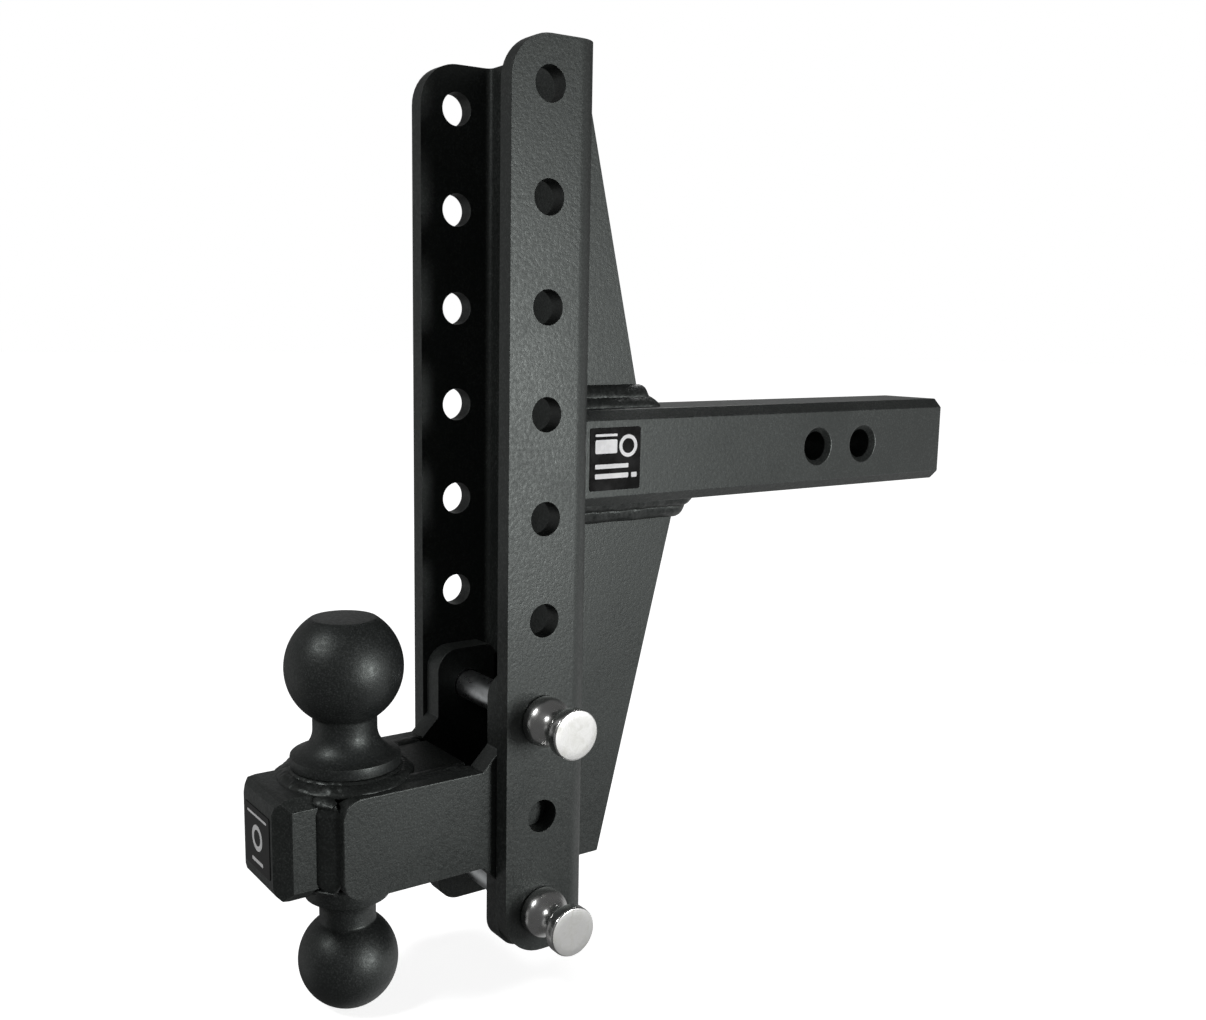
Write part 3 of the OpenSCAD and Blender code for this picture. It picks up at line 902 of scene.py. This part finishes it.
# ---- labels: black film with plain printed marks, on the shank's side and on the nose ----
shankLabel = {
    "piece": "labelShank", "node": "label_shank", "across": (0, 1, 0), "out": (1, 0, 0), "corner": 1.2,
    # (left, bottom, right, top, corner) as shares of the label's half width
    "marks": [(-0.80, 0.18, 0.06, 0.62, 0.05), (-0.80, 0.72, 0.06, 0.80, 0.03),
              (-0.80, -0.30, 0.52, -0.16, 0.03), (-0.80, -0.62, 0.52, -0.46, 0.03),
              (0.64, -0.62, 0.86, -0.46, 0.03)],
    "rounds": [(0.50, 0.40, 0.36, 0.24)],
}
noseLabel = {
    "piece": "labelNose", "node": "label_nose", "across": (1, 0, 0), "out": (0, -1, 0), "corner": 1.2,
    "marks": [(-0.78, 0.72, 0.78, 0.80, 0.03), (-0.45, -0.78, 0.45, -0.66, 0.03)],
    "rounds": [(0.0, 0.05, 0.42, 0.26)],
}


def roundedOutline(left, bottom, right, top, corner):
    pts = []
    for cx, cy, start in ((right - corner, bottom + corner, -90), (right - corner, top - corner, 0),
                          (left + corner, top - corner, 90), (left + corner, bottom + corner, 180)):
        for a in (math.radians(start + degrees) for degrees in range(0, 91, 15)):
            pts.append((cx + corner * math.cos(a), cy + corner * math.sin(a)))
    return pts


def makeLabel(s):
    low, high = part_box(s["node"])
    across, out, up = Vector(s["across"]), Vector(s["out"]), Vector((0, 0, 1))
    centre = (low + high) / 2
    span = abs((high - low).dot(across)) / 2
    thick = abs((high - low).dot(out)) / 2
    rise = (high.z - low.z) / 2
    bm = bmesh.new()

    def at(u, v, lift):
        return bm.verts.new(centre + across * u + up * v + out * (lift * thick))

    r = s["corner"] / 1000
    cut = 0.0002                                 # the film's edge is thinner than its middle
    rim = roundedOutline(-span, -rise, span, rise, r)
    innerRim = roundedOutline(cut - span, cut - rise, span - cut, rise - cut, r)
    rings = [[at(u, v, lift) for u, v in outline] for outline, lift in ((rim, -1), (rim, 0.6), (innerRim, 1))]
    for a, b in zip(rings, rings[1:]):
        for k in range(len(a)):
            n = (k + 1) % len(a)
            bm.faces.new((a[k], a[n], b[n], b[k]))
    bm.faces.new(rings[0][::-1])
    bm.faces.new(rings[-1])

    # a printed mark: a thin closed plate set into the film, with a hole where it has an inner outline
    def mark(*outlines):
        sides = [[[at(u, v, lift) for u, v in outline] for lift in (0.5, 1.06)] for outline in outlines]
        bands = [(under, over) for under, over in sides]
        if len(sides) == 2:
            bands += list(zip(*sides))
            made = []
        else:
            made = [bm.faces.new(loop) for loop in sides[0]]
        for first, second in bands:
            for k in range(len(first)):
                n = (k + 1) % len(first)
                made.append(bm.faces.new((first[k], first[n], second[n], second[k])))
        for face in made:
            face.material_index = 1

    for left, bottom, right, top, corner in s["marks"]:
        mark(roundedOutline(left * span, bottom * rise, right * span, top * rise, corner * span))
    for cx, cy, outer, inner in s["rounds"]:     # a plain ring
        turns = [2 * math.pi * k / 48 for k in range(48)]

        def circle(q):
            return [(span * (cx + q * math.cos(t)), cy * rise + q * span * math.sin(t)) for t in turns]

        mark(circle(outer), circle(inner))
    bmesh.ops.recalc_face_normals(bm, faces=bm.faces)
    mesh = bpy.data.meshes.new(s["piece"])
    bm.to_mesh(mesh)
    bm.free()
    mesh.materials.append(labelFilm)
    mesh.materials.append(labelPrint)
    addPiece(s["piece"], mesh, "hitch", [s["node"]])


for settings in (shankLabel, noseLabel):
    makeLabel(settings)
print("labels made")


# ---- floor, light ----
floorSettings = {
    "radius": 14.0, "colour": (0.78, 0.78, 0.78),
    "glowNear": 0.80, "glowFar": 1.0, "near": 0.5, "far": 2.6,   # the paper is evenly white a little way off
}


def makeFloor(s):
    mesh = bpy.data.meshes.new("floor")
    bm = bmesh.new()
    bmesh.ops.create_circle(bm, cap_ends=True, segments=96, radius=s["radius"])
    bmesh.ops.translate(bm, verts=bm.verts, vec=(0, -0.1, cadLow.z - 0.0002))
    bm.to_mesh(mesh)
    bm.free()
    mat, tree, shader = newMaterial("floorPaper")
    here = objectCoords(tree)
    tone = ramp(tree, noise(tree, here, 14, 3), 0.3, 0.7, 0.98, 1.02)
    mixed = tree.nodes.new("ShaderNodeVectorMath")
    mixed.operation = "SCALE"
    mixed.inputs[0].default_value = s["colour"]
    tree.links.new(tone, mixed.inputs["Scale"])
    tree.links.new(mixed.outputs["Vector"], shader.inputs["Base Color"])
    shader.inputs["Roughness"].default_value = 0.8
    shader.inputs["Specular IOR Level"].default_value = 0.1
    shader.inputs["Emission Color"].default_value = (1, 1, 1, 1)
    length = tree.nodes.new("ShaderNodeVectorMath")
    length.operation = "LENGTH"
    tree.links.new(here, length.inputs[0])
    glow = ramp(tree, length.outputs["Value"], s["near"], s["far"], s["glowNear"], s["glowFar"])
    tree.links.new(glow, shader.inputs["Emission Strength"])
    mesh.materials.append(mat)
    obj = bpy.data.objects.new("floor", mesh)
    bpy.context.scene.collection.objects.link(obj)
    obj.visible_diffuse = False      # the paper doesn't light the part from below
    obj.visible_glossy = False


makeFloor(floorSettings)

lightSettings = {
    # name: (place, aimed at, width, height, watts)
    "sideBox": ((1.30, 0.26, -0.05), (0.03, -0.24, -0.05), 0.32, 0.50, 12.8),
    "frontTopBox": ((0.06, -1.45, 1.05), (0.0, -0.27, -0.1), 0.30, 0.30, 10.0),
    "backBox": ((-0.80, 0.90, 1.50), (0.0, -0.10, 0.0), 0.70, 0.70, 9.0),
}


def makeLights(s):
    for name, (place, aim, width, height, watts) in s.items():
        data = bpy.data.lights.new(name, "AREA")
        data.shape = "RECTANGLE"
        data.size, data.size_y = width, height
        data.energy = watts
        obj = bpy.data.objects.new(name, data)
        bpy.context.scene.collection.objects.link(obj)
        obj.location = place
        obj.rotation_euler = (Vector(aim) - Vector(place)).to_track_quat("-Z", "Y").to_euler()


makeLights(lightSettings)

roomSettings = {
    "seen": 1.0, "dim": 0.085,
    # soft white cards: (toward, cosine where each starts, cosine where it is full, brightness)
    "cards": [((0.86, 0.36, -0.12), 0.60, 0.98, 0.12), ((-0.05, 0.75, -0.65), 0.60, 0.95, 0.40),
              ((0.40, 0.90, -0.15), 0.84, 0.98, 0.60), ((-0.75, -0.62, 0.10), 0.60, 0.98, 0.16),
              ((-0.88, 0.45, 0.20), 0.86, 0.99, 0.16), ((-0.55, -0.83, -0.30), 0.86, 0.98, 0.20)],
}


# a white room: plain white behind the object, dim with soft cards where it lights it
def makeRoom(s):
    world = bpy.data.worlds.new("room")
    bpy.context.scene.world = world
    world.use_nodes = True
    tree = world.node_tree
    tree.nodes.clear()
    out = tree.nodes.new("ShaderNodeOutputWorld")
    lit = tree.nodes.new("ShaderNodeBackground")
    seen = tree.nodes.new("ShaderNodeBackground")
    mix = tree.nodes.new("ShaderNodeMixShader")
    path = tree.nodes.new("ShaderNodeLightPath")
    looking = tree.nodes.new("ShaderNodeVectorMath")
    looking.operation = "NORMALIZE"
    tree.links.new(tree.nodes.new("ShaderNodeTexCoord").outputs["Generated"], looking.inputs[0])
    total = None
    for toward, start, full, bright in s["cards"]:
        facing = tree.nodes.new("ShaderNodeVectorMath")
        facing.operation = "DOT_PRODUCT"
        facing.inputs[1].default_value = Vector(toward).normalized()
        tree.links.new(looking.outputs["Vector"], facing.inputs[0])
        card = ramp(tree, facing.outputs["Value"], start, full, 0.0, bright)
        card.node.interpolation_type = "SMOOTHSTEP"
        total = mathNode(tree, "ADD", total, card) if total else mathNode(tree, "ADD", card, s["dim"])
    tree.links.new(total, lit.inputs["Strength"])
    seen.inputs["Strength"].default_value = s["seen"]
    tree.links.new(path.outputs["Is Camera Ray"], mix.inputs["Fac"])
    tree.links.new(lit.outputs["Background"], mix.inputs[1])
    tree.links.new(seen.outputs["Background"], mix.inputs[2])
    tree.links.new(mix.outputs["Shader"], out.inputs["Surface"])
    for node in (lit, seen):
        node.inputs["Color"].default_value = (1, 1, 1, 1)


makeRoom(roomSettings)
bpy.context.scene.view_settings.view_transform = "Standard"
print("floor, light and room made")
